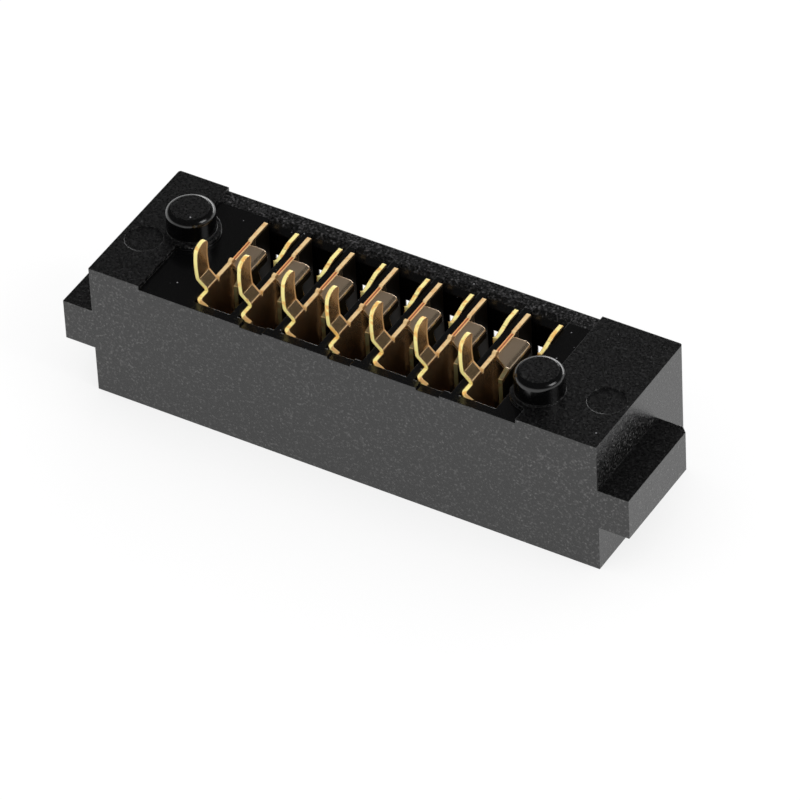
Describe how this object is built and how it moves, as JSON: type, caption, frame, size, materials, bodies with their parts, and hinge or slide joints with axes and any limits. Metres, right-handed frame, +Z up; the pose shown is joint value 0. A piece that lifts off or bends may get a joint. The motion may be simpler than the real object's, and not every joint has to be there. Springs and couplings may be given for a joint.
{
  "type": "battery connector",
  "caption": "Board-mount battery connector: black moulded housing with end ears, locating pegs and a row of pockets that hold gilt folded sheet contacts.",
  "frame": {"origin": "middle of the flat underside", "axes": "+X along the row of contacts, +Y from the plain front face to the slotted back face, +Z up towards the pegs and solder tails"},
  "size_m": [0.032, 0.0086, 0.0103],
  "materials": {
    "black_plastic": "satin",
    "gilt_metal": "satin"
  },
  "bodies": {
    "root": {"housing": "black_plastic", "contact_1": "gilt_metal", "contact_2": "gilt_metal", "contact_3": "gilt_metal", "contact_4": "gilt_metal", "contact_5": "gilt_metal", "contact_6": "gilt_metal", "contact_7": "gilt_metal"}
  },
  "joints": []
}
